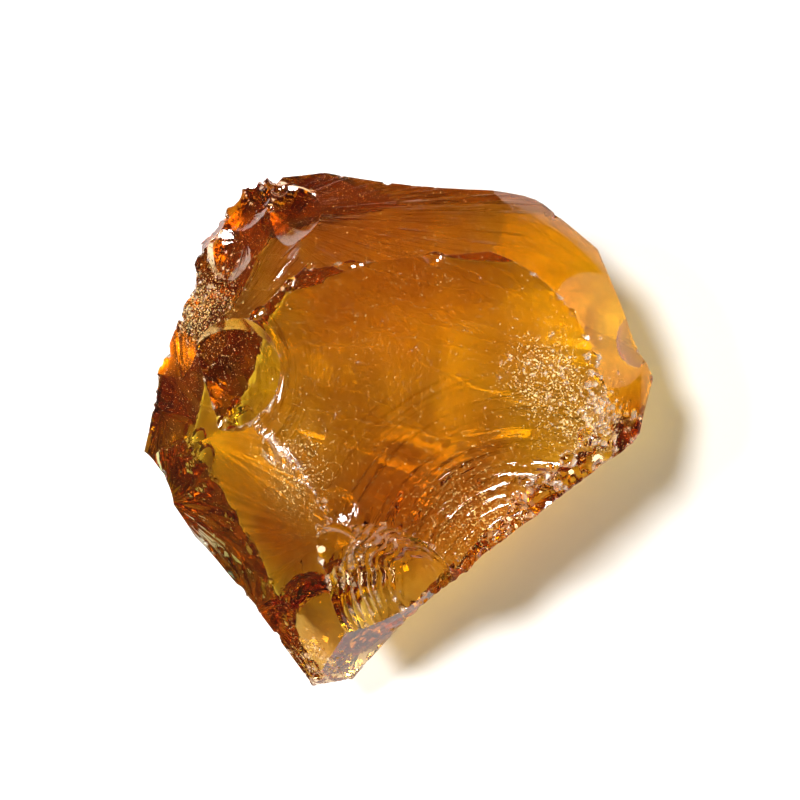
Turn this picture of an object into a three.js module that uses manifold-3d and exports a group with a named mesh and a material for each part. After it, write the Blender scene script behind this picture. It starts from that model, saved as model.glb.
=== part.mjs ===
// A chunk of rough gem crystal, clear and amber coloured, broken on every side.
// Each side is a conchoidal fracture: a shallow bowl with ripples round the point
// that was struck. A block is cut by one tool for each fracture, and its flat base
// is a cleavage. Then small scars are cut into it and its sharp edges are chipped.
// Millimetres, +Z up, origin under the middle of the stone.
import * as THREE from "three";
import { mergeVertices } from "three/addons/utils/BufferGeometryUtils.js";
import Module from "manifold-3d";

const wasm = await Module();
wasm.setup();

// Driving dimensions
const blockLength = 84; // the block that the stone is broken from
const blockWidth = 76;
const blockHeight = 30;
const blockCentre = [-4, -6];
const toolHeight = 60; // how far a fracture tool stands out of the stone
const ringStep = 6; // ring spacing of a tool where it has no ripples
const stepsPerRipple = 4;
const toolSides = 36; // facets round a tool
const scarSides = 18;
const chipCount = 62;
const chipRadius = { least: 0.5, most: 2.2 };
const chipDepth = 0.35; // of its radius
const fineChip = 1; // a smaller chip has flat sides
const sharpEdge = 42; // degrees between the faces of an edge that chips
const seed = 11;

// One entry for each fracture: the point struck, the way the face looks there, its
// radius of curvature (below 0 for a domed face) and how far the tool reaches.
// Ripples run between two distances from the blow, and height is crest to trough.
// Hackles are the ridges that fan out from the blow.
const fractures = [
  { name: "crown", blow: [13.8, -17.3, 16.2], facing: [0.09, 0.15, 1], radius: 90, reach: 60, sides: 44,
    stretch: 1.15 },
  { name: "crown flake", blow: [16.8, -20.4, 16], facing: [0.03, 0.21, 0.98], radius: 60, reach: 24,
    sides: 56, ripples: { from: 7, to: 19, spacing: 2.1, height: 0.15 } },
  { name: "back slope", blow: [-14, 20, 16.8], facing: [0.15, 0.57, 0.81], radius: 300, reach: 60,
    sides: 84, hackles: { from: 6, to: 44, count: 44, height: 0.3 } },
  { name: "left shoulder", blow: [-17.6, 5.9, 19.3], facing: [-0.17, 0.35, 0.92], radius: 60, reach: 30,
    sides: 64, hackles: { from: 3, to: 20, count: 30, height: 0.3 } },
  { name: "corner top", blow: [-17.7, 20.3, 14.6], facing: [-0.07, 0.33, 0.94], radius: 40, reach: 12 },
  { name: "front slope", blow: [-21.9, -0.5, 16.8], facing: [-0.28, -0.36, 0.89], radius: 300,
    reach: 60 },
  { name: "left front", blow: [-20.7, 0, 16.2], facing: [-0.4, -0.11, 0.91], radius: 200, reach: 40 },
  { name: "right end high", blow: [22.1, 10.6, 13.4], facing: [0.71, 0.19, 0.68], radius: 90, reach: 40 },
  { name: "right end low", blow: [24.9, 1.5, 12.9], facing: [0.73, 0.03, 0.68], radius: -30, reach: 25 },
  { name: "front tip", blow: [-3.6, -25.6, 11.6], facing: [0.5, -0.74, 0.46], radius: 200, reach: 10 },
  { name: "tip end", blow: [-9.4, -31.8, 9.2], facing: [-0.07, -0.96, -0.25], radius: 40, reach: 30 },
  { name: "under front", blow: [-28.8, -12, 11.1], facing: [-0.66, -0.42, -0.62], radius: 90, reach: 40 },
  { name: "under front low", blow: [-17.6, -23.7, 10], facing: [-0.68, -0.62, -0.38], radius: 120,
    reach: 40 },
  { name: "under tip", blow: [-7.4, -26.2, 5.5], facing: [0, 0, -1], radius: 11, reach: 10.4 },
  { name: "under left", blow: [-30.6, -3.8, 11.3], facing: [-0.76, 0.43, -0.49], radius: 60, reach: 30 },
  { name: "under shoulder", blow: [-26.8, 5.4, 14.7], facing: [-0.61, 0.69, -0.39], radius: 200,
    reach: 8 },
  { name: "left hollow", blow: [-22.2, 13, 16.3], facing: [-0.9, 0.15, -0.4], radius: 25, reach: 4.4 },
  { name: "corner", blow: [-19.5, 20.9, 14.6], facing: [-0.72, 0.43, -0.54], radius: 60, reach: 40 },
  { name: "under back left", blow: [-12.3, 23.8, 13], facing: [-0.17, 0.76, -0.62], radius: 80,
    reach: 40 },
  { name: "under back", blow: [3.9, 21.9, 11.9], facing: [0.13, 0.89, -0.43], radius: 120, reach: 60 },
  { name: "back right", blow: [19.7, 17.8, 13.1], facing: [0.58, 0.7, -0.42], radius: 60, reach: 40 },
  { name: "under right", blow: [24.3, 8.8, 11.6], facing: [0.82, 0.36, -0.44], radius: 60, reach: 40 },
  { name: "right foot", blow: [26.1, -0.9, 10.6], facing: [0.83, -0.26, -0.49], radius: 40, reach: 30 },
  { name: "right heel", blow: [23.5, -6.3, 14], facing: [0.56, -0.8, -0.2], radius: 60, reach: 40 },
  { name: "lower right back", blow: [15.1, -12.3, 14.4], facing: [0.58, -0.79, -0.21], radius: 120,
    reach: 60 },
  { name: "under lower right", blow: [10.2, -15.6, 4.2], facing: [0.14, -0.31, -0.94], radius: 200,
    reach: 36 },
  { name: "lower right", blow: [0.3, -25.1, 11], facing: [0.71, -0.67, -0.23], radius: 150, reach: 40 },
  { name: "notch", blow: [-17.4, 2.2, 15.4], facing: [0.38, 0.18, 0.905], radius: 45, reach: 5.6 },
];

// Smaller scars: a point on the face that each one is in, the way it looks, and
// its width and depth.
const scars = [
  { name: "notch apron", at: [-17.3, 2.6, 22.1], facing: [0.34, -0.04, 0.94], width: 24, depth: 2.1,
    ripples: { from: 5, to: 12, spacing: 1.3, height: 0.3 } },
  { name: "front scoop", at: [-0.4, -18.8, 15.8], facing: [0.2, -0.4, 0.9], width: 14.5, depth: 2.9,
    ripples: { from: 3.5, to: 8, spacing: 1.3, height: 0.16 } },
  { name: "ridge scar", at: [-4.6, -14.6, 17.7], facing: [0.15, -0.7, 0.7], width: 7, depth: 1.4 },
  { name: "ridge chip", at: [-2.9, -11.3, 18.4], facing: [0.1, 0.1, 1], width: 5, depth: 0.6 },
  { name: "edge scar low", at: [11.2, -15, 15.8], facing: [0.45, -0.4, 0.8], width: 5.5, depth: 0.9 },
  { name: "edge scar leaf", at: [13.9, -12, 15.5], facing: [0.4, -0.3, 0.86], width: 5.2, depth: 0.8 },
  { name: "edge scar mid", at: [14, -8.6, 15.3], facing: [0.25, -0.1, 0.96], width: 4.4, depth: 0.6 },
  { name: "edge scar high", at: [16.8, -9, 15.1], facing: [0.4, -0.25, 0.88], width: 5, depth: 0.8 },
  { name: "edge scar end", at: [19.6, -7.2, 14.8], facing: [0.45, -0.4, 0.8], width: 4.6, depth: 0.8 },
  { name: "pale facet", at: [21.9, -5.2, 14.5], facing: [0.42, -0.5, 0.76], width: 6, depth: 0.8 },
  { name: "corner scar outer", at: [-19.8, 19.2, 14.9], facing: [-0.45, 0.45, 0.78], width: 5.6,
    depth: 0.4 },
  { name: "corner scar mid", at: [-16.8, 20.2, 14.7], facing: [-0.05, 0.45, 0.9], width: 5, depth: 0.4 },
  { name: "corner scar inner", at: [-15.7, 17.2, 16.4], facing: [-0.4, 0.1, 0.9], width: 5.6,
    depth: 0.4 },
  { name: "corner scar back", at: [-11.2, 19, 15.9], facing: [0.2, 0.55, 0.82], width: 5.6, depth: 0.4 },
  { name: "left rim scar", at: [-31, -9.6, 8.9], facing: [-0.62, -0.42, 0.66], width: 7, depth: 0.9 },
  { name: "back edge", at: [15.6, 21, 10.6], facing: [0.3, 0.95, 0], width: 8, depth: 0.7 },
  { name: "left step", at: [-22.3, 12.6, 16.4], facing: [-0.75, 0.3, 0.55], width: 4, depth: 0.6 },
  { name: "right ledge", at: [24.3, 6.2, 13], facing: [0.93, 0.1, 0.35], width: 4.6, depth: 0.4 },
];

// Seeded random numbers from 0 to 1, so that each build is the same.
let state = seed;
function random() {
  state = (state * 1664525 + 1013904223) % 4294967296;
  return state / 4294967296;
}

function between(least, most) {
  return least + (most - least) * random();
}

function ringDistances({ reach, ripples }) {
  const distances = [0];
  for (let distance = 0; distance < reach; ) {
    const rippled = ripples && distance > ripples.from - 1 && distance < ripples.to;
    distance += rippled ? ripples.spacing / stepsPerRipple : Math.min(ringStep, reach / 4);
    distances.push(Math.min(distance, reach));
  }
  return distances;
}

function bowlHeight({ radius }, distance) {
  const ball = Math.abs(radius);
  return Math.sign(radius) * (ball - Math.sqrt(ball * ball - distance * distance));
}

// Swells from 0 to 1 and back as distance goes through the span.
function swell({ from, to }, distance) {
  if (distance < from || distance > to) return 0;
  return Math.sin((Math.PI * (distance - from)) / (to - from));
}

function faceHeight(fracture, distance, angle) {
  let height = bowlHeight(fracture, distance);
  const { ripples, hackles } = fracture;
  if (ripples) {
    const phase = (2 * Math.PI * distance) / ripples.spacing + Math.sin(3 * angle);
    height += 0.5 * ripples.height * swell(ripples, distance) * Math.sin(phase);
  }
  if (hackles) {
    const fan = Math.sin(hackles.count * angle) + 0.6 * Math.sin(0.6 * hackles.count * angle + 1);
    height += 0.3 * hackles.height * swell(hackles, distance) * fan;
  }
  return height;
}

function solidOf(geometry) {
  geometry.deleteAttribute("normal");
  geometry.deleteAttribute("uv");
  const merged = mergeVertices(geometry, 1e-4);
  const mesh = new wasm.Mesh({
    numProp: 3,
    vertProperties: merged.attributes.position.array,
    triVerts: new Uint32Array(merged.index.array),
  });
  return new wasm.Manifold(mesh);
}

function turnTo(facing) {
  const direction = new THREE.Vector3(...facing).normalize();
  return new THREE.Quaternion().setFromUnitVectors(new THREE.Vector3(0, 1, 0), direction);
}

// What a fracture takes away: a column over its bowl, out past the block.
function fractureTool(fracture) {
  const profile = ringDistances(fracture).map((distance) => new THREE.Vector2(distance, 0));
  profile.push(new THREE.Vector2(fracture.reach, toolHeight));
  profile.push(new THREE.Vector2(0, toolHeight));
  const geometry = new THREE.LatheGeometry(profile, fracture.sides ?? toolSides);
  const point = geometry.attributes.position;
  for (let i = 0; i < point.count; i++) {
    if (point.getY(i) > 0) continue;
    const distance = Math.min(Math.hypot(point.getX(i), point.getZ(i)), fracture.reach);
    const angle = distance > 0 ? Math.atan2(point.getZ(i), point.getX(i)) : 0;
    point.setY(i, faceHeight(fracture, distance, angle));
  }
  geometry.scale(fracture.stretch ?? 1, 1, 1);
  geometry.applyQuaternion(turnTo(fracture.facing));
  geometry.translate(...fracture.blow);
  return solidOf(geometry);
}

// A scar is the cap of a ball of this width and depth.
function scarTool({ at, facing, width, depth, ripples }) {
  const radius = (width * width / 4 + depth * depth) / (2 * depth);
  const outward = new THREE.Vector3(...facing).normalize();
  const blow = new THREE.Vector3(...at).addScaledVector(outward, -depth).toArray();
  const reach = Math.min(0.95 * radius, width);
  return fractureTool({ blow, facing, radius, reach, ripples, sides: ripples ? 2 * scarSides : scarSides });
}

// The convex edges between faces that meet sharply, each with the way it points.
function sharpEdges(solid) {
  const { vertProperties, triVerts } = solid.getMesh();
  const corner = (index) => new THREE.Vector3().fromArray(vertProperties, 3 * index);
  const facesOf = new Map();
  for (let first = 0; first < triVerts.length; first += 3) {
    const ids = [triVerts[first], triVerts[first + 1], triVerts[first + 2]];
    const normal = new THREE.Triangle(...ids.map(corner)).getNormal(new THREE.Vector3());
    ids.forEach((id, i) => {
      const next = ids[(i + 1) % 3];
      const key = id < next ? `${id} ${next}` : `${next} ${id}`;
      if (!facesOf.has(key)) facesOf.set(key, []);
      facesOf.get(key).push({ id, next, opposite: ids[(i + 2) % 3], normal });
    });
  }
  const edges = [];
  for (const [one, other] of facesOf.values()) {
    const start = corner(one.id);
    const bend = THREE.MathUtils.radToDeg(one.normal.angleTo(other.normal));
    const convex = corner(other.opposite).sub(start).dot(one.normal) < 0;
    if (bend < sharpEdge || !convex) continue;
    const outward = one.normal.clone().add(other.normal).normalize();
    edges.push({ start, end: corner(one.next), outward });
  }
  return edges;
}

// A chip bites into an edge at a random place, more often on a long edge.
function chipTools(solid) {
  const edges = sharpEdges(solid);
  const lengths = edges.map(({ start, end }) => start.distanceTo(end));
  const total = lengths.reduce((sum, length) => sum + length, 0);
  const tools = [];
  while (tools.length < chipCount) {
    let along = random() * total;
    let chosen = 0;
    while (along > lengths[chosen]) along -= lengths[chosen++];
    const { start, end, outward } = edges[chosen];
    const place = start.clone().lerp(end, along / lengths[chosen]);
    const radius = chipRadius.least + (chipRadius.most - chipRadius.least) * random() ** 3;
    const lean = new THREE.Vector3(between(-1, 1), between(-1, 1), between(-1, 1));
    const away = outward.clone().addScaledVector(lean, 0.5).normalize();
    const geometry = new THREE.IcosahedronGeometry(radius, radius < fineChip ? 0 : 1);
    geometry.scale(1, 1, between(1, 1.8));
    geometry.applyQuaternion(turnTo(lean.toArray()));
    geometry.translate(...place.addScaledVector(away, radius * (1 - chipDepth)).toArray());
    tools.push(solidOf(geometry));
  }
  return tools;
}

function meshOf(solid, name, material) {
  const { vertProperties, triVerts } = solid.getMesh();
  const geometry = new THREE.BufferGeometry();
  geometry.setAttribute("position", new THREE.BufferAttribute(vertProperties, 3));
  geometry.setIndex(new THREE.BufferAttribute(triVerts, 1));
  geometry.computeBoundingBox();
  const { min, max } = geometry.boundingBox;
  geometry.translate(-(min.x + max.x) / 2, -(min.y + max.y) / 2, -min.z);
  geometry.computeVertexNormals();
  const mesh = new THREE.Mesh(geometry, material);
  mesh.name = name;
  return mesh;
}

const block = new THREE.BoxGeometry(blockLength, blockWidth, blockHeight);
block.translate(...blockCentre, blockHeight / 2);
let stone = solidOf(block);
for (const fracture of fractures) stone = stone.subtract(fractureTool(fracture));
for (const scar of scars) stone = stone.subtract(scarTool(scar));
for (const chip of chipTools(stone)) stone = stone.subtract(chip);

const gem = new THREE.MeshStandardMaterial({ color: 0xc8780a, roughness: 0.05, metalness: 0 });
const part = new THREE.Group();
part.add(meshOf(stone, "stone", gem));
export default part;
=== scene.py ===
# A rough chunk of clear orange topaz, broken on every side, on a plain pale floor.
# The stone is a block cut by one tool for each fracture, then scarred, chipped and pitted.
import math
import random
import bpy
import bmesh
from mathutils import Matrix, Vector, noise
from mathutils.bvhtree import BVHTree


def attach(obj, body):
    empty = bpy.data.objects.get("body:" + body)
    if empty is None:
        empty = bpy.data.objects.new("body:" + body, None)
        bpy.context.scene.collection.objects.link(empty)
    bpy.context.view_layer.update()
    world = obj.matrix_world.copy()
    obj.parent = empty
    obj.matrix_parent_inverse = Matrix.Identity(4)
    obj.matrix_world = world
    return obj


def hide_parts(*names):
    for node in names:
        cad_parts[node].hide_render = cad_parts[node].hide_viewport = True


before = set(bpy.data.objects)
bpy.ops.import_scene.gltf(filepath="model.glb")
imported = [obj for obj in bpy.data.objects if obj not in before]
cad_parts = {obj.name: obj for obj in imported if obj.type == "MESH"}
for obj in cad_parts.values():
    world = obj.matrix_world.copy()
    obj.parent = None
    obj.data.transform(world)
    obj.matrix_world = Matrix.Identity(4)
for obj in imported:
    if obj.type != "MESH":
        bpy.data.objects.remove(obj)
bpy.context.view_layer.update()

# The stone is laid out in millimetres about the point where it was first set down,
# then shifted so that its origin is under the middle of it, and scaled to metres.
mm = 0.001
originShift = Vector((2.459, 3.631, 0))


def linearColour(code):
    shares = [int(code[i:i + 2], 16) / 255 for i in (1, 3, 5)]
    linear = [s / 12.92 if s <= 0.04045 else ((s + 0.055) / 1.055) ** 2.4 for s in shares]
    return (*linear, 1)


def addNode(tree, kind, settings, links):
    node = tree.nodes.new("ShaderNode" + kind)
    for name, value in settings.items():
        if isinstance(name, int) or name in node.inputs:
            node.inputs[name].default_value = value
        else:
            setattr(node, name, value)
    for name, source in links.items():
        tree.links.new(source, node.inputs[name])
    return node


def newMaterial(name):
    material = bpy.data.materials.new(name)
    material.use_nodes = True
    material.node_tree.nodes.clear()
    return material


def addObject(name, bm):
    mesh = bpy.data.meshes.new(name)
    bm.to_mesh(mesh)
    bm.free()
    obj = bpy.data.objects.new(name, mesh)
    bpy.context.scene.collection.objects.link(obj)
    return obj


# Millimetres and degrees
stoneSpec = {
    "blockSize": (84, 76, 30),
    "blockCentre": (-4, -6, 15),
    "toolHeight": 60,
    "grain": 0.8,
    "sides": 60,
    "weld": 1e-4,
    "sharpAngle": 24,
    "chippedAngle": 32,
    "seed": 11,
    "noiseReach": 40,
    "undulation": {"height": 0.05, "spacing": 7},
    # Rings wander off the true circle, come and go in strength, and carry a finer wave.
    "rippleForm": {
        "wander": {"round": 2, "along": 0.12, "share": 0.9},
        "strength": {"round": 3, "along": 0.3, "middle": 0.6, "share": 0.8},
        "finer": {"times": 2.3, "shift": 5, "share": 0.35},
    },
    # Ridges are coarse ones and finer ones: how many times finer, and their share. They are full grown
    # at a distance from the blow.
    "hackleForm": {"octaves": ((1, 0.6), (2.7, 0.3), (6.1, 0.1)), "along": 0.06, "middle": 0.6,
                   "grown": 12},
    # Fractures: where the blow fell, the way the face looks, the radius of its bowl and how far it runs.
    "fractures": [
        {"name": "crown", "blow": (13.8, -17.3, 16.2), "facing": (0.09, 0.15, 1), "radius": 90,
         "reach": 56, "sides": 260, "grain": 0.42, "stretch": 1.15,
         "ripples": {"from": 16, "to": 34, "spacing": 1.9, "height": 0.06},
         "hackles": {"from": 6, "to": 50, "spacing": 0.03, "height": 0.02}},
        {"name": "crownFlake", "blow": (16.8, -20.4, 16), "facing": (0.03, 0.21, 0.98), "radius": 60,
         "reach": 24, "sides": 300, "grain": 0.22,
         "ripples": {"from": 6, "to": 19, "spacing": 1.05, "height": 0.11},
         "hackles": {"from": 6, "to": 24, "spacing": 0.05, "height": 0.02}},
        {"name": "backSlope", "blow": (-14, 20, 16.8), "facing": (0.15, 0.57, 0.81), "radius": 300,
         "reach": 60, "sides": 420, "grain": 0.5,
         "hackles": {"from": 3, "to": 52, "spacing": 0.025, "height": 0.11}},
        {"name": "leftShoulder", "blow": (-17.6, 5.9, 19.3), "facing": (-0.17, 0.35, 0.92),
         "radius": 60, "reach": 30, "sides": 300, "grain": 0.35,
         "hackles": {"from": 2, "to": 24, "spacing": 0.035, "height": 0.1}},
        {"name": "cornerTop", "blow": (-17.7, 20.3, 14.6), "facing": (-0.07, 0.33, 0.94), "radius": 40,
         "reach": 12, "sides": 120, "grain": 0.4,
         "hackles": {"from": 1, "to": 12, "spacing": 0.2, "height": 0.25}},
        {"name": "frontSlope", "blow": (-21.9, -0.5, 16.8), "facing": (-0.28, -0.36, 0.89),
         "radius": 300, "reach": 60, "sides": 180, "grain": 0.7},
        {"name": "leftFront", "blow": (-20.7, 0, 16.2), "facing": (-0.4, -0.11, 0.91), "radius": 200,
         "reach": 40, "sides": 160, "grain": 0.7},
        {"name": "rightEndHigh", "blow": (22.1, 10.6, 13.4), "facing": (0.71, 0.19, 0.68),
         "radius": 90, "reach": 40, "sides": 120},
        {"name": "rightEndLow", "blow": (24.9, 1.5, 12.9), "facing": (0.73, 0.03, 0.68), "radius": -30,
         "reach": 25, "sides": 100},
        {"name": "frontTip", "blow": (-3.6, -25.6, 11.6), "facing": (0.5, -0.74, 0.46), "radius": 200,
         "reach": 10, "sides": 120, "hackles": {"from": 1, "to": 9, "spacing": 0.15, "height": 0.2}},
        {"name": "tipEnd", "blow": (-9.4, -31.8, 9.2), "facing": (-0.07, -0.96, -0.25), "radius": 40,
         "reach": 30},
        {"name": "underFront", "blow": (-28.8, -12, 11.1), "facing": (-0.66, -0.42, -0.62),
         "radius": 90, "reach": 40, "sides": 200,
         "hackles": {"from": 1, "to": 30, "spacing": 0.2, "height": 0.9}},
        {"name": "underFrontLow", "blow": (-17.6, -23.7, 10), "facing": (-0.68, -0.62, -0.38),
         "radius": 120, "reach": 40, "sides": 200,
         "hackles": {"from": 1, "to": 30, "spacing": 0.2, "height": 1}},
        {"name": "underTip", "blow": (-7.4, -26.2, 5.5), "facing": (0, 0, -1), "radius": 11,
         "reach": 10.4, "grain": 0.4, "sides": 90,
         "hackles": {"from": 4, "to": 10, "spacing": 0.3, "height": 0.3}},
        {"name": "underLeft", "blow": (-30.6, -3.8, 11.3), "facing": (-0.76, 0.43, -0.49),
         "radius": 60, "reach": 30},
        {"name": "underShoulder", "blow": (-26.8, 5.4, 14.7), "facing": (-0.61, 0.69, -0.39),
         "radius": 200, "reach": 8},
        {"name": "leftHollow", "blow": (-22.2, 13, 16.3), "facing": (-0.9, 0.15, -0.4), "radius": 25,
         "reach": 4.4},
        {"name": "corner", "blow": (-19.5, 20.9, 14.6), "facing": (-0.72, 0.43, -0.54), "radius": 60,
         "reach": 40},
        {"name": "underBackLeft", "blow": (-12.3, 23.8, 13), "facing": (-0.17, 0.76, -0.62),
         "radius": 80, "reach": 40},
        {"name": "underBack", "blow": (3.9, 21.9, 11.9), "facing": (0.13, 0.89, -0.43), "radius": 120,
         "reach": 60, "sides": 120},
        {"name": "backRight", "blow": (19.7, 17.8, 13.1), "facing": (0.58, 0.7, -0.42), "radius": 60,
         "reach": 40},
        {"name": "underRight", "blow": (24.3, 8.8, 11.6), "facing": (0.82, 0.36, -0.44), "radius": 60,
         "reach": 40},
        {"name": "rightFoot", "blow": (26.1, -0.9, 10.6), "facing": (0.83, -0.26, -0.49), "radius": 40,
         "reach": 30},
        {"name": "rightHeel", "blow": (23.5, -6.3, 14), "facing": (0.56, -0.8, -0.2), "radius": 60,
         "reach": 40},
        {"name": "lowerRightBack", "blow": (15.1, -12.3, 14.4), "facing": (0.58, -0.79, -0.21),
         "radius": 120, "reach": 60, "sides": 180, "grain": 0.5,
         "ripples": {"from": 2, "to": 30, "spacing": 2, "height": 0.5}},
        {"name": "underLowerRight", "blow": (10.2, -15.6, 4.2), "facing": (0.14, -0.31, -0.94),
         "radius": 200, "reach": 36, "sides": 140,
         "ripples": {"from": 1, "to": 30, "spacing": 2.4, "height": 0.4}},
        {"name": "lowerRight", "blow": (0.3, -25.1, 11), "facing": (0.71, -0.67, -0.23), "radius": 150,
         "reach": 40, "sides": 120},
        {"name": "notch", "blow": (-17.4, 2.2, 15.4), "facing": (0.38, 0.18, 0.905), "radius": 45,
         "reach": 5.6, "sides": 90, "grain": 0.3,
         "ripples": {"from": 1, "to": 5.6, "spacing": 1.1, "height": 0.05}},
    ],
    # Smaller scars: a point on the face that each is in, the way it looks, its width and depth.
    "scars": [
        {"name": "notchApron", "at": (-17.3, 2.6, 22.1), "facing": (0.34, -0.04, 0.94), "width": 24,
         "depth": 2.1, "ripples": {"from": 3.4, "to": 9, "spacing": 0.7, "height": 0.2}},
        {"name": "frontScoop", "at": (-0.4, -18.8, 15.8), "facing": (0.2, -0.4, 0.9), "width": 14.5,
         "depth": 2.9, "sides": 150, "late": True,
         "ripples": {"heart": (5, -1), "from": 2.5, "to": 12.5, "spacing": 1, "height": 0.32}},
        {"name": "ridgeScar", "at": (-4.6, -14.6, 17.7), "facing": (0.15, -0.7, 0.7), "width": 7,
         "depth": 1.4},
        {"name": "ridgeChip", "at": (-2.9, -11.3, 18.4), "facing": (0.1, 0.1, 1), "width": 5,
         "depth": 0.6, "ripples": {"from": 0.5, "to": 2.6, "spacing": 0.6, "height": 0.1}},
        {"name": "edgeScarLow", "at": (11.2, -15, 15.8), "facing": (0.45, -0.4, 0.8), "width": 5.5,
         "depth": 0.9},
        {"name": "edgeScarLeaf", "at": (13.9, -12, 15.5), "facing": (0.4, -0.3, 0.86), "width": 5.2,
         "depth": 0.8, "ripples": {"from": 0.5, "to": 2.9, "spacing": 0.6, "height": 0.2}},
        {"name": "edgeScarMid", "at": (14, -8.6, 15.3), "facing": (0.25, -0.1, 0.96), "width": 4.4,
         "depth": 0.6, "ripples": {"from": 0.5, "to": 2.6, "spacing": 0.55, "height": 0.2}},
        {"name": "edgeScarHigh", "at": (16.8, -9, 15.1), "facing": (0.4, -0.25, 0.88), "width": 5,
         "depth": 0.8, "ripples": {"from": 0.5, "to": 2.8, "spacing": 0.6, "height": 0.2}},
        {"name": "edgeScarEnd", "at": (19.6, -7.2, 14.8), "facing": (0.45, -0.4, 0.8), "width": 4.6,
         "depth": 0.8},
        {"name": "paleFacet", "at": (21.9, -5.2, 14.5), "facing": (0.42, -0.5, 0.76), "width": 6,
         "depth": 0.8},
        {"name": "cornerScarOuter", "at": (-19.8, 19.2, 14.9), "facing": (-0.45, 0.45, 0.78),
         "width": 5.6, "depth": 0.4,
         "hackles": {"from": 0.2, "to": 5, "spacing": 0.25, "height": 0.5}},
        {"name": "cornerScarMid", "at": (-16.8, 20.2, 14.7), "facing": (-0.05, 0.45, 0.9), "width": 5,
         "depth": 0.4, "hackles": {"from": 0.2, "to": 5, "spacing": 0.25, "height": 0.5}},
        {"name": "cornerScarInner", "at": (-15.7, 17.2, 16.4), "facing": (-0.4, 0.1, 0.9),
         "width": 5.6, "depth": 0.4,
         "hackles": {"from": 0.2, "to": 5, "spacing": 0.25, "height": 0.5}},
        {"name": "cornerScarBack", "at": (-11.2, 19, 15.9), "facing": (0.2, 0.55, 0.82), "width": 5.6,
         "depth": 0.4, "hackles": {"from": 0.2, "to": 5, "spacing": 0.2, "height": 0.4}},
        {"name": "leftRimScar", "at": (-31, -9.6, 8.9), "facing": (-0.62, -0.42, 0.66), "width": 7,
         "depth": 0.9},
        {"name": "backEdge", "at": (15.6, 21, 10.6), "facing": (0.3, 0.95, 0), "width": 8,
         "depth": 0.7},
        {"name": "leftStep", "at": (-22.3, 12.6, 16.4), "facing": (-0.75, 0.3, 0.55), "width": 4,
         "depth": 0.6},
        {"name": "rightLedge", "at": (24.3, 6.2, 13), "facing": (0.93, 0.1, 0.35), "width": 4.6,
         "depth": 0.4},
    ],
    "scarForm": {"steepest": 0.95, "margin": 0.8, "grain": 0.3, "markedGrain": 0.14, "sides": 72},
    # Every chip and pit: small ones are commoner by the skew, and each is tilted, sunk and drawn out at
    # random. Two that are cut together keep the room between them.
    "chipForm": {"skew": 2.5, "tilt": 0.5, "sink": (0.5, 1.4), "stretch": (1, 1.8)},
    "room": 1.3,
    # Chips along the sharp edges: how many, their least and most radius, and their depth as a share of it.
    "chips": [
        {"count": 170, "least": 0.6, "most": 1.9, "depth": 0.24, "detail": 3, "jag": 0.08},
        {"count": 900, "least": 0.15, "most": 0.6, "depth": 0.4, "detail": 1, "jag": 0.4},
    ],
    # Crushed patches and dust pits: the middle, how far they spread, and how many pits of what radius.
    "pits": [
        {"at": (17.6, 2.4, 15.1), "spread": 4.6, "count": 60, "least": 0.06, "most": 0.24},
        {"at": (23, -1.5, 14.6), "spread": 3.4, "count": 110, "least": 0.12, "most": 0.4},
        {"at": (11, -12, 15.8), "spread": 6, "count": 40, "least": 0.06, "most": 0.16},
        {"at": (2, 0, 18), "spread": 22, "count": 40, "least": 0.05, "most": 0.12},
        {"at": (-20.4, 11, 17), "spread": 5, "count": 190, "least": 0.08, "most": 0.3},
        {"at": (-9, -29, 10), "spread": 4, "count": 60, "least": 0.12, "most": 0.35},
    ],
    "pitShape": {"depth": 0.5, "detail": 1, "jag": 0.4, "scatter": 0.5},
    # Places where the edges are crushed: point and how far it spreads. An edge there weighs more by the
    # crowding for each place it is in, so more chips fall on it.
    "crowding": 3,
    "crushed": [
        ((-24.5, -3, 0), 5), ((-25.5, -9, 0), 5), ((-22.5, -15, 0), 5), ((-12, -3, 19.5), 4),
        ((-9.5, -8.5, 18), 4), ((-7, -12, 17.5), 4), ((-4.5, -15.5, 16.5), 5), ((15, -12, 15), 7),
        ((20, -7, 14.5), 5), ((22, -1, 14.5), 5), ((-27, 1, 15.5), 5), ((-20, 16, 15), 6),
        ((2, -22, 13), 5), ((-9, -30, 6), 5),
    ],
}


def bowlHeight(radius, distance):
    ball = abs(radius)
    return math.copysign(ball - math.sqrt(ball * ball - distance * distance), radius)


# Ripples, ridges and lines grow and fade by a sine to this power.
swellPower = 0.6


# Rises from 0 to 1 and falls back as the distance goes through the span.
def swell(span, distance):
    if not span["from"] < distance < span["to"]:
        return 0
    return math.sin(math.pi * (distance - span["from"]) / (span["to"] - span["from"])) ** swellPower


# A spot of the noise for a way round the blow and a distance from it.
def noiseSpot(form, distance, angle):
    around = form["round"]
    return Vector((around * math.cos(angle), around * math.sin(angle), form["along"] * distance))


# Rings round the blow, or round a heart beside it.
def rippleHeight(ripples, form, distance, angle, offset):
    if "heart" in ripples:
        place = Vector((distance * math.cos(angle), distance * math.sin(angle))) - Vector(ripples["heart"])
        distance = place.length
        angle = math.atan2(place.y, place.x)
    wandering, patchy, finer = form["wander"], form["strength"], form["finer"]
    wander = noise.noise(noiseSpot(wandering, distance, angle) + offset)
    strength = patchy["middle"] + patchy["share"] * noise.noise(noiseSpot(patchy, distance, angle) - offset)
    phase = 2 * math.pi * (distance / ripples["spacing"] + wandering["share"] * wander)
    wave = math.sin(phase) + finer["share"] * math.sin(finer["times"] * phase + finer["shift"] * wander)
    return 0.5 * ripples["height"] * swell(ripples, distance) * strength * wave


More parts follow.
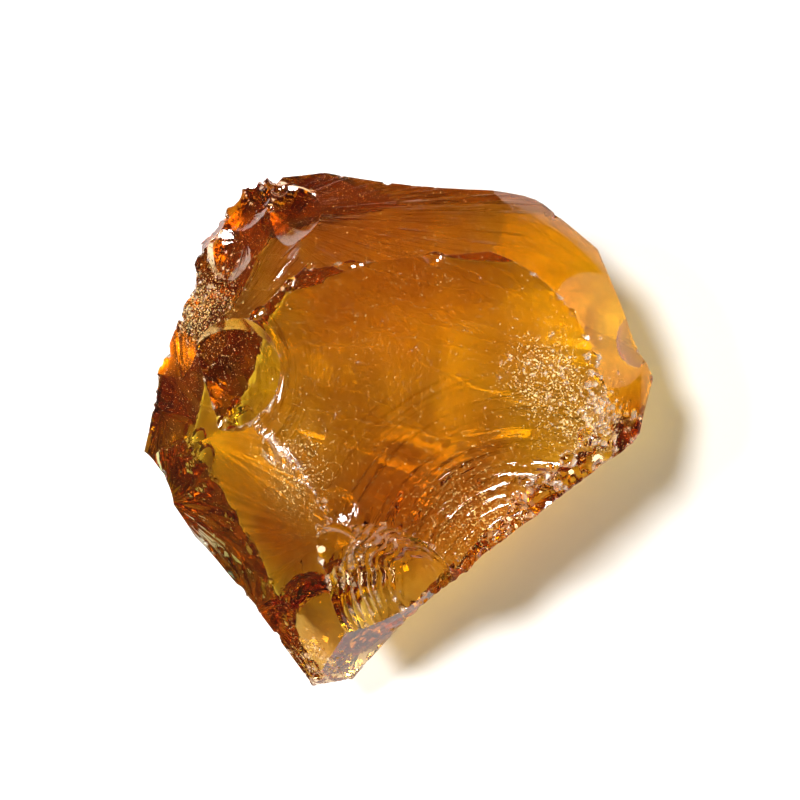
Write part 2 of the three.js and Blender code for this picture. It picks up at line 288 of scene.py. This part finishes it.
# Ridges that fan out from the blow, sharp on top.
def hackleHeight(hackles, form, distance, angle, offset):
    around = Vector((math.cos(angle), math.sin(angle), 0)) / hackles["spacing"]
    ridge = 0
    for octave, share in form["octaves"]:
        place = around * octave + offset * octave + Vector((0, 0, form["along"] * distance * octave))
        ridge += share * (1 - 2 * abs(noise.noise(place)))
    grown = min(1, distance / form["grown"])
    return hackles["height"] * swell(hackles, distance) * (ridge - form["middle"]) * grown


def faceHeight(cut, spec, distance, angle, offset):
    height = bowlHeight(cut["radius"], distance)
    if "ripples" in cut:
        height += rippleHeight(cut["ripples"], spec["rippleForm"], distance, angle, offset)
    if "hackles" in cut:
        height += hackleHeight(cut["hackles"], spec["hackleForm"], distance, angle, offset)
    return height


def turnTo(facing):
    return Vector((0, 0, 1)).rotation_difference(Vector(facing).normalized()).to_matrix().to_4x4()


# What a fracture takes away: a column over its bowl, out past the block.
def fractureTool(cut, spec):
    grain = cut.get("grain", spec["grain"])
    rings = max(4, round(cut["reach"] / grain))
    profile = [Vector((cut["reach"] * i / rings, 0, 0)) for i in range(rings + 1)]
    profile += [Vector((cut["reach"], 0, spec["toolHeight"])), Vector((0, 0, spec["toolHeight"]))]
    bm = bmesh.new()
    corners = [bm.verts.new(place) for place in profile]
    edges = [bm.edges.new(pair) for pair in zip(corners, corners[1:])]
    bmesh.ops.spin(bm, geom=corners + edges, cent=(0, 0, 0), axis=(0, 0, 1), angle=2 * math.pi,
                   steps=cut.get("sides", spec["sides"]), use_merge=True)
    bmesh.ops.remove_doubles(bm, verts=bm.verts, dist=spec["weld"])
    offset = noise.random_unit_vector() * spec["noiseReach"]
    bed = spec["undulation"]
    for corner in bm.verts:
        if corner.co.z > 0:
            continue
        distance = min(math.hypot(corner.co.x, corner.co.y), cut["reach"])
        angle = math.atan2(corner.co.y, corner.co.x) if distance > 0 else 0
        swing = bed["height"] * noise.noise(corner.co / bed["spacing"] + offset)
        corner.co.z = faceHeight(cut, spec, distance, angle, offset) + swing
    bmesh.ops.recalc_face_normals(bm, faces=bm.faces)
    place = Matrix.Translation(cut["blow"]) @ turnTo(cut["facing"])
    if "stretch" in cut:
        place = place @ Matrix.Scale(cut["stretch"], 4, (1, 0, 0))
    bm.transform(place)
    return bm


# A scar is the cap of a ball of this width and depth, with a margin outside it.
def scarCut(scar, form):
    width, depth = scar["width"], scar["depth"]
    radius = (width * width / 4 + depth * depth) / (2 * depth)
    outward = Vector(scar["facing"]).normalized()
    cut = {
        "blow": Vector(scar["at"]) - depth * outward,
        "facing": outward,
        "radius": radius,
        "reach": min(form["steepest"] * radius, form["margin"] * width),
        "grain": form["grain"],
        "sides": scar.get("sides", form["sides"]),
    }
    for marks in ("ripples", "hackles"):
        if marks in scar:
            cut[marks] = scar[marks]
            cut["grain"] = form["markedGrain"]
    return cut


def cutAway(stone, bm):
    tool = addObject("tool", bm)
    modifier = stone.modifiers.new("cut", "BOOLEAN")
    modifier.operation = "DIFFERENCE"
    modifier.solver = "MANIFOLD"
    modifier.object = tool
    bpy.context.view_layer.update()
    evaluated = stone.evaluated_get(bpy.context.evaluated_depsgraph_get())
    mesh = bpy.data.meshes.new_from_object(evaluated)
    stone.modifiers.clear()
    old = stone.data
    stone.data = mesh
    bpy.data.meshes.remove(old)
    bpy.data.objects.remove(tool)


# The convex edges between faces that meet sharply, each with the way it points and its weight.
def sharpEdges(stone, spec):
    bm = bmesh.new()
    bm.from_mesh(stone.data)
    limit = math.radians(spec["chippedAngle"])
    found = []
    for edge in bm.edges:
        if len(edge.link_faces) != 2 or edge.calc_face_angle_signed(0) < limit:
            continue
        start, end = (corner.co.copy() for corner in edge.verts)
        middle = (start + end) / 2
        outward = (edge.link_faces[0].normal + edge.link_faces[1].normal).normalized()
        crushed = sum((middle - Vector(point)).length < spread for point, spread in spec["crushed"])
        found.append((start, end, outward, edge.calc_length() * (1 + spec["crowding"] * crushed)))
    bm.free()
    return found


# One chip: it sits over a point, sunk into the stone by a share of its radius.
def chipAt(point, outward, kind):
    lean = Vector([random.uniform(-1, 1) for _ in range(3)])
    radius = kind["least"] + (kind["most"] - kind["least"]) * random.random() ** kind["skew"]
    away = (outward + kind["tilt"] * lean).normalized()
    centre = point + away * radius * (1 - kind["depth"] * random.uniform(*kind["sink"]))
    return {"centre": centre, "radius": radius, "stretch": random.uniform(*kind["stretch"]), "lean": lean}


# Sorts chips into batches whose chips don't touch, so that one tool cuts a whole batch.
def packApart(chips, room):
    batches = []
    for chip in chips:
        chip["room"] = room * chip["radius"] * chip["stretch"]
        for batch in batches:
            if all((chip["centre"] - other["centre"]).length > chip["room"] + other["room"]
                   for other in batch):
                batch.append(chip)
                break
        else:
            batches.append([chip])
    return batches


# Chips bite into the edges at random places.
def edgeChips(edges, kind):
    weights = [edge[3] for edge in edges]
    chosen = random.choices(edges, weights, k=kind["count"])
    return [chipAt(start.lerp(end, random.random()), outward, kind) for start, end, outward, _ in chosen]


# Pits gather on the faces round a point, closer together near its middle.
def facePits(stone, kind):
    bm = bmesh.new()
    bm.from_mesh(stone.data)
    tree = BVHTree.FromBMesh(bm)
    made = []
    for _ in range(kind["count"]):
        spread = Vector([random.gauss(0, kind["scatter"]) for _ in range(3)]) * kind["spread"]
        point, normal, _, _ = tree.find_nearest(Vector(kind["at"]) + spread)
        made.append(chipAt(point, normal, kind))
    bm.free()
    return made


def chipTool(batch, shape):
    bm = bmesh.new()
    for chip in batch:
        radius = chip["radius"]
        place = Matrix.Translation(chip["centre"]) @ turnTo(chip["lean"])
        place = place @ Matrix.Scale(chip["stretch"], 4, (0, 0, 1))
        made = bmesh.ops.create_icosphere(bm, subdivisions=shape["detail"], radius=radius, matrix=place)
        for corner in made["verts"]:
            corner.co += shape["jag"] * radius * noise.noise_vector(corner.co * 2 / radius)
    return bm


# Pattern scales are waves a metre. A speck is about 0.2 mm across, coarser than real dust so that it
# shows, the unevenness about 1 mm and a cloud about 7 mm.
gemSpec = {
    "ior": 1.62,
    "roughness": 0.0,
    "wornRoughness": 0.3,
    "absorption": "#F7EA00",
    "density": 230,
    "bump": {"scale": 900, "detail": 3, "share": 0.08, "strength": 0.18, "depth": 0.0001},
    "wearStep": 0.25,
    "crushed": {"colour": "#EAD39A", "from": 0.45, "cover": 0.38},
    "speck": {"colour": "#F3D07A", "scale": 4800, "detail": 4, "roughness": 0.7,
              "rarest": 0.69, "thickest": 0.57, "cover": 0.8},
    "mottle": {"tint": "#C8803C", "scale": 150, "detail": 5, "roughness": 0.6,
               "from": 0.42, "to": 0.7, "share": 0.45},
    # The dark colour of the lines is painted shade along the ridges and rings
    "lineShade": {"colour": "#5C3414", "detail": 3, "roughness": 0.6, "from": 0.48, "to": 0.66},
    # A mark that is kept to a way of facing starts at this cosine and is whole this much further on.
    "agreement": {"from": 0.94, "over": 0.03},
    # Fine lines on a face, about the blow that made it: they fan out, or run round, so many a turn and so
    # many a metre. They lie between two distances, on what faces the given way. Their dark colour is
    # painted shade, standing in for the shade of the little ridges and rings; they also raise the bump.
    "lines": [
        {"name": "backFan", "blow": (-14, 20, 16.8), "facing": (0.15, 0.57, 0.81), "from": 2, "to": 60,
         "turn": 330, "metre": 90, "share": 0.75},
        {"name": "shoulderFan", "blow": (-17.6, 5.9, 19.3), "facing": (-0.17, 0.35, 0.92), "from": 2,
         "to": 24, "turn": 110, "metre": 160, "share": 0.8},
        {"name": "flakeRings", "blow": (16.8, -20.4, 16), "facing": (0.03, 0.21, 0.98), "from": 7,
         "to": 27, "turn": 7, "metre": 1500, "share": 0.95},
        {"name": "apronRings", "blow": (-18, 2.7, 20.1), "facing": (0.25, 0, 0.97), "from": 5,
         "to": 14, "turn": 6, "metre": 1400, "share": 0.7},
    ],
    # Painted shade: brown, olive or pale tints laid on parts of the surface, darkening and tinting them to
    # stand in for the shade and colour that the light gives there: middle, spread and tint. One that has a
    # facing keeps to the faces that look that way.
    "paintedShadeSpots": [
        {"at": (0, 19, 15), "spread": 11, "tint": "#F0B070"},
        {"at": (-13, 17, 16), "spread": 7, "tint": "#E8B088"},
        {"at": (2, -10, 17.5), "spread": 9, "tint": "#C07840"},
        {"at": (12, -13, 15.5), "spread": 7, "tint": "#D89058"},
        {"at": (-19, -10, 14), "spread": 7.5, "tint": "#947448"},
        {"at": (-13, -15, 14), "spread": 7, "tint": "#A87040"},
        {"at": (-9, -26, 10), "spread": 6, "tint": "#D08848"},
        {"at": (-1, -25, 9), "spread": 5, "tint": "#B88838"},
        {"at": (-17, 9, 17), "spread": 5.5, "tint": "#A06840"},
        {"at": (-26.5, -9, 10), "spread": 4.5, "tint": "#80B898"},
        {"at": (-19.5, -20, 9), "spread": 4.5, "tint": "#80B898"},
        {"at": (25.5, -2, 12), "spread": 6, "tint": "#8A4818", "facing": (0.73, 0.03, 0.68)},
        {"at": (23, 10, 12), "spread": 8, "tint": "#DCF0F0", "facing": (0.71, 0.19, 0.68)},
    ],
    # Dust and tiny bruises: middle, spread and how thick they lie.
    "dust": [
        {"at": (17.6, 2.4, 15.1), "spread": 4.2, "share": 1},
        {"at": (22, -3, 14.6), "spread": 4, "share": 1},
        {"at": (11, -12, 15.8), "spread": 6, "share": 0.8},
        {"at": (-9, -8, 18), "spread": 5, "share": 0.8},
        {"at": (-21, 10, 17), "spread": 5, "share": 1},
        {"at": (-9, -28, 9), "spread": 4, "share": 1},
        {"at": (0, 5, 18), "spread": 26, "share": 0.35},
    ],
}


# Rises from 0 to 1 as the surface turns to the mark's way of facing. One with no facing goes all over.
def agreement(mark, normal, limits):
    if "facing" not in mark:
        return 1
    turned = normal.dot(Vector(mark["facing"]).normalized())
    return max(0, min(1, (turned - limits["from"]) / limits["over"]))


# How much of a set of lines a point of the surface takes.
def lineShare(lines, corner, limits):
    distance = (corner.co - Vector(lines["blow"])).length
    return agreement(lines, corner.normal, limits) * swell(lines, distance)


def nearness(spot, place):
    return math.exp(-((place - Vector(spot["at"])).length / spot["spread"]) ** 2)


# How strongly the painted shade lies at a point.
def paintedShadeShare(spot, corner, limits):
    return nearness(spot, corner.co) * agreement(spot, corner.normal, limits)


# Marks the surface for the material: where it is worn, lined, painted with shade and dusty.
def markSurface(stone, spec, gem):
    limits = gem["agreement"]
    bm = bmesh.new()
    bm.from_mesh(stone.data)
    wear = bm.verts.layers.float.new("wear")
    dust = bm.verts.layers.float.new("dust")
    paintedShade = bm.verts.layers.float_vector.new("paintedShade")
    lined = [(lines, bm.verts.layers.float.new(lines["name"])) for lines in gem["lines"]]
    tints = [(spot, Vector(linearColour(spot["tint"])[:3])) for spot in gem["paintedShadeSpots"]]
    for face in bm.faces:
        face.smooth = True
    for edge in bm.edges:
        sharp = edge.calc_face_angle(0) > math.radians(spec["sharpAngle"])
        edge.smooth = not sharp
        if sharp:
            for corner in edge.verts:
                corner[wear] = min(1, corner[wear] + gem["wearStep"])
    for corner in bm.verts:
        # The colour of each point is darkened by the painted shade spots that lie over it
        colour = Vector((1, 1, 1))
        for spot, tint in tints:
            colour = colour * Vector((1, 1, 1)).lerp(tint, paintedShadeShare(spot, corner, limits))
        corner[paintedShade] = colour
        corner[dust] = min(1, sum(spot["share"] * nearness(spot, corner.co) for spot in gem["dust"]))
        for lines, layer in lined:
            corner[layer] = lineShare(lines, corner, limits)
    bm.to_mesh(stone.data)
    bm.free()


# A late scar runs through the coarse chips.
def cutScars(stone, spec, late):
    for scar in spec["scars"]:
        if scar.get("late", False) == late:
            cutAway(stone, fractureTool(scarCut(scar, spec["scarForm"]), spec))
    print("scars cut", len(stone.data.polygons))


def cutChips(stone, spec, chips):
    kind = {**spec["chipForm"], **chips}
    for batch in packApart(edgeChips(sharpEdges(stone, spec), kind), spec["room"]):
        cutAway(stone, chipTool(batch, kind))
    print("chips cut", len(stone.data.polygons))


def cutPits(stone, spec):
    form = {**spec["chipForm"], **spec["pitShape"]}
    pits = [pit for patch in spec["pits"] for pit in facePits(stone, {**form, **patch})]
    for batch in packApart(pits, spec["room"]):
        cutAway(stone, chipTool(batch, form))
    print("pits cut", len(stone.data.polygons))


def buildStone(spec):
    random.seed(spec["seed"])
    noise.seed_set(spec["seed"])
    bm = bmesh.new()
    bmesh.ops.create_cube(bm, size=1)
    bmesh.ops.scale(bm, vec=spec["blockSize"], verts=bm.verts)
    bmesh.ops.translate(bm, vec=spec["blockCentre"], verts=bm.verts)
    stone = addObject("stonePiece", bm)
    for cut in spec["fractures"]:
        cutAway(stone, fractureTool(cut, spec))
    print("fractures cut", len(stone.data.polygons))
    coarse, fine = spec["chips"]
    cutScars(stone, spec, late=False)
    cutChips(stone, spec, coarse)
    cutScars(stone, spec, late=True)
    cutChips(stone, spec, fine)
    cutPits(stone, spec)
    stone.data.materials.clear()
    return stone


# Fine lines about a blow, kept to their own face by the attribute of their name.
def faceLines(tree, place, lines, lineShade):
    centre = (Vector(lines["blow"]) + originShift) * mm
    away = addNode(tree, "Mapping", {"Location": -centre}, {"Vector": place.outputs["Object"]})
    turn = addNode(tree, "TexGradient", {"gradient_type": "RADIAL"}, {"Vector": away.outputs["Vector"]})
    reach = addNode(tree, "VectorMath", {"operation": "LENGTH"}, {"Vector": away.outputs["Vector"]})
    polar = addNode(tree, "CombineXYZ", {}, {"X": turn.outputs["Fac"], "Y": reach.outputs["Value"]})
    grid = addNode(tree, "Mapping", {"Scale": (lines["turn"], lines["metre"], 1)},
                   {"Vector": polar.outputs["Vector"]})
    wisps = addNode(tree, "TexNoise",
                    {"Scale": 1, "Detail": lineShade["detail"], "Roughness": lineShade["roughness"]},
                    {"Vector": grid.outputs["Vector"]})
    crisp = addNode(tree, "MapRange", {"From Min": lineShade["from"], "From Max": lineShade["to"]},
                    {"Value": wisps.outputs["Fac"]})
    share = addNode(tree, "Attribute", {"attribute_name": lines["name"]}, {})
    faded = addNode(tree, "Math", {"operation": "MULTIPLY"},
                    {0: crisp.outputs["Result"], 1: share.outputs["Fac"]})
    return addNode(tree, "Math", {"operation": "MULTIPLY", 1: lines["share"]},
                   {0: faded.outputs["Value"]})


# Amber topaz: clear, glassy, coloured by what it absorbs through its thickness
def gemMaterial(spec):
    bumpSpec, crushing, specks = spec["bump"], spec["crushed"], spec["speck"]
    mottle, lineShade = spec["mottle"], spec["lineShade"]
    material = newMaterial("amberTopaz")
    tree = material.node_tree
    place = addNode(tree, "TexCoord", {}, {})
    wear = addNode(tree, "Attribute", {"attribute_name": "wear"}, {})
    dust = addNode(tree, "Attribute", {"attribute_name": "dust"}, {})
    # painted shade: tints standing in for the shade and colour that the light gives on parts of the stone
    paintedShade = addNode(tree, "Attribute", {"attribute_name": "paintedShade"}, {})
    rough = addNode(tree, "MapRange", {"To Min": spec["roughness"], "To Max": spec["wornRoughness"]},
                    {"Value": wear.outputs["Fac"]})
    # The fine lines of all the faces: painted shade along the ridges and rings, and bumps
    lined = [faceLines(tree, place, lines, lineShade) for lines in spec["lines"]]
    streaks = lined[0]
    for more in lined[1:]:
        streaks = addNode(tree, "Math", {"operation": "MAXIMUM"},
                          {0: streaks.outputs["Value"], 1: more.outputs["Value"]})
    # Crushed edges and specks of dust turn pale and hide the clear stone
    flecks = addNode(tree, "TexNoise",
                     {"Scale": specks["scale"], "Detail": specks["detail"],
                      "Roughness": specks["roughness"]},
                     {"Vector": place.outputs["Object"]})
    limit = addNode(tree, "MapRange", {"To Min": specks["rarest"], "To Max": specks["thickest"]},
                    {"Value": dust.outputs["Fac"]})
    speck = addNode(tree, "Math", {"operation": "GREATER_THAN"},
                    {0: flecks.outputs["Fac"], 1: limit.outputs["Result"]})
    specked = addNode(tree, "Math", {"operation": "MULTIPLY", 1: specks["cover"]},
                      {0: speck.outputs["Value"]})
    crushed = addNode(tree, "MapRange",
                      {"From Min": crushing["from"], "From Max": 1, "To Max": crushing["cover"]},
                      {"Value": wear.outputs["Fac"]})
    cover = addNode(tree, "Math", {"operation": "MAXIMUM"},
                    {0: specked.outputs["Value"], 1: crushed.outputs["Result"]})
    clear = addNode(tree, "Math", {"operation": "SUBTRACT", 0: 1}, {1: cover.outputs["Value"]})
    # The tint of the surface: painted shade, then clouds, lines, powder and specks over them
    clouds = addNode(tree, "TexNoise",
                     {"Scale": mottle["scale"], "Detail": mottle["detail"],
                      "Roughness": mottle["roughness"]},
                     {"Vector": place.outputs["Object"]})
    cloudy = addNode(tree, "MapRange",
                     {"From Min": mottle["from"], "From Max": mottle["to"], "To Max": mottle["share"]},
                     {"Value": clouds.outputs["Fac"]})
    mottled = addNode(tree, "MixRGB",
                      {"blend_type": "MULTIPLY", "Color2": linearColour(mottle["tint"])},
                      {"Fac": cloudy.outputs["Result"], "Color1": paintedShade.outputs["Color"]})
    # The lines are painted darker: painted shade along the ridges and rings
    lineShaded = addNode(tree, "MixRGB", {"Color2": linearColour(lineShade["colour"])},
                       {"Fac": streaks.outputs["Value"], "Color1": mottled.outputs["Color"]})
    powdered = addNode(tree, "MixRGB", {"Color2": linearColour(crushing["colour"])},
                       {"Fac": crushed.outputs["Result"], "Color1": lineShaded.outputs["Color"]})
    colour = addNode(tree, "MixRGB", {"Color2": linearColour(specks["colour"])},
                     {"Fac": specked.outputs["Value"], "Color1": powdered.outputs["Color"]})
    # The lines and a faint unevenness stand out a little
    fine = addNode(tree, "TexNoise", {"Scale": bumpSpec["scale"], "Detail": bumpSpec["detail"]},
                   {"Vector": place.outputs["Object"]})
    faint = addNode(tree, "Math", {"operation": "MULTIPLY", 1: bumpSpec["share"]},
                    {0: fine.outputs["Fac"]})
    height = addNode(tree, "Math", {"operation": "ADD"},
                     {0: faint.outputs["Value"], 1: streaks.outputs["Value"]})
    bump = addNode(tree, "Bump", {"Strength": bumpSpec["strength"], "Distance": bumpSpec["depth"]},
                   {"Height": height.outputs["Value"]})
    shader = addNode(tree, "BsdfPrincipled", {"IOR": spec["ior"]},
                     {"Base Color": colour.outputs["Color"], "Transmission Weight": clear.outputs["Value"],
                      "Roughness": rough.outputs["Result"], "Normal": bump.outputs["Normal"]})
    inside = addNode(tree, "VolumeAbsorption",
                     {"Color": linearColour(spec["absorption"]), "Density": spec["density"]}, {})
    addNode(tree, "OutputMaterial", {},
            {"Surface": shader.outputs["BSDF"], "Volume": inside.outputs["Volume"]})
    return material


# Metres
floorSpec = {
    "size": 3,
    "drop": 0.0002,
    "colour": "#E8E8E6",
    "roughness": 0.7,
    "grain": {"scale": 300, "strength": 0.05, "depth": 0.0002},
}


# Matt white board: dull, with a faint unevenness about 3 mm across
def floorMaterial(spec):
    grain = spec["grain"]
    material = newMaterial("paleBoard")
    tree = material.node_tree
    place = addNode(tree, "TexCoord", {}, {})
    grains = addNode(tree, "TexNoise", {"Scale": grain["scale"]}, {"Vector": place.outputs["Object"]})
    bump = addNode(tree, "Bump", {"Strength": grain["strength"], "Distance": grain["depth"]},
                   {"Height": grains.outputs["Fac"]})
    shader = addNode(tree, "BsdfPrincipled",
                     {"Base Color": linearColour(spec["colour"]), "Roughness": spec["roughness"]},
                     {"Normal": bump.outputs["Normal"]})
    addNode(tree, "OutputMaterial", {}, {"Surface": shader.outputs["BSDF"]})
    return material


def buildFloor(spec):
    bm = bmesh.new()
    bmesh.ops.create_grid(bm, x_segments=1, y_segments=1, size=spec["size"] / 2)
    bmesh.ops.translate(bm, vec=(0, 0, -spec["drop"]), verts=bm.verts)
    floor = addObject("floor", bm)
    floor.data.materials.append(floorMaterial(spec))
    return floor


# Metres and watts
lightSpec = {
    "world": 0.05,
    "worldColour": "#FFFFFF",
    "target": (0, 0, 0.01),
    "lights": {
        "key": {"at": (-0.1, 0.2, 0.5), "size": 0.16, "power": 3.3, "colour": "#FFFFFF"},
        "side": {"at": (-0.42, 0.06, 0.42), "size": 0.24, "power": 4.4, "colour": "#FFFFFF"},
        "fill": {"at": (0.25, -0.42, 0.4), "size": 0.18, "power": 1.9, "colour": "#FFE4B8"},
        "panel": {"at": (0.52, 0.24, 0.13), "size": 0.45, "power": 0.42, "colour": "#FFFFFF"},
    },
}


def aim(obj, at, target):
    obj.location = at
    obj.rotation_euler = (Vector(target) - Vector(at)).to_track_quat("-Z", "Y").to_euler()


def addLight(name, spec, target):
    light = bpy.data.lights.new(name, "AREA")
    light.energy = spec["power"]
    light.size = spec["size"]
    light.shape = "DISK"
    light.color = linearColour(spec["colour"])[:3]
    obj = bpy.data.objects.new(name, light)
    bpy.context.scene.collection.objects.link(obj)
    aim(obj, spec["at"], target)


def lightScene(spec):
    world = bpy.data.worlds.new("studio")
    bpy.context.scene.world = world
    world.use_nodes = True
    background = world.node_tree.nodes["Background"]
    background.inputs["Color"].default_value = linearColour(spec["worldColour"])
    background.inputs["Strength"].default_value = spec["world"]
    for name, light in spec["lights"].items():
        addLight(name, light, spec["target"])


# Millimetres, and degrees off the upright
cameraSpec = {
    "tilt": 22,
    "lens": 52.3,
    "sensor": 36,
    "nearest": 10,
    "distance": 125,
    "target": (0, 0, 10),
}


def addCamera(spec):
    camera = bpy.data.cameras.new("camera")
    camera.lens = spec["lens"]
    camera.sensor_width = spec["sensor"]
    camera.clip_start = spec["nearest"] * mm
    obj = bpy.data.objects.new("camera", camera)
    bpy.context.scene.collection.objects.link(obj)
    tilt = math.radians(spec["tilt"])
    back = Vector((math.sin(tilt), 0, math.cos(tilt)))
    across = Vector((math.cos(tilt), 0, -math.sin(tilt)))
    turn = Matrix((across, (0, 1, 0), back)).transposed().to_4x4()
    place = (Vector(spec["target"]) + originShift + spec["distance"] * back) * mm
    obj.matrix_world = Matrix.Translation(place) @ turn
    bpy.context.scene.camera = obj


lookSpec = {
    "transform": "Standard",
    "clamp": 0,
    "bounces": 20,
    "glossyBounces": 12,
}


def setLook(spec):
    scene = bpy.context.scene
    scene.view_settings.view_transform = spec["transform"]
    scene.cycles.sample_clamp_indirect = spec["clamp"]
    scene.cycles.max_bounces = spec["bounces"]
    scene.cycles.transmission_bounces = spec["bounces"]
    scene.cycles.glossy_bounces = spec["glossyBounces"]


addCamera(cameraSpec)
lightScene(lightSpec)
setLook(lookSpec)
floor = buildFloor(floorSpec)
print("set built")

stone = buildStone(stoneSpec)
markSurface(stone, stoneSpec, gemSpec)
stone.data.transform(Matrix.Scale(mm, 4) @ Matrix.Translation(originShift))
stone.data.materials.append(gemMaterial(gemSpec))
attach(stone, "root")
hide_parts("stone")
print("stone built")
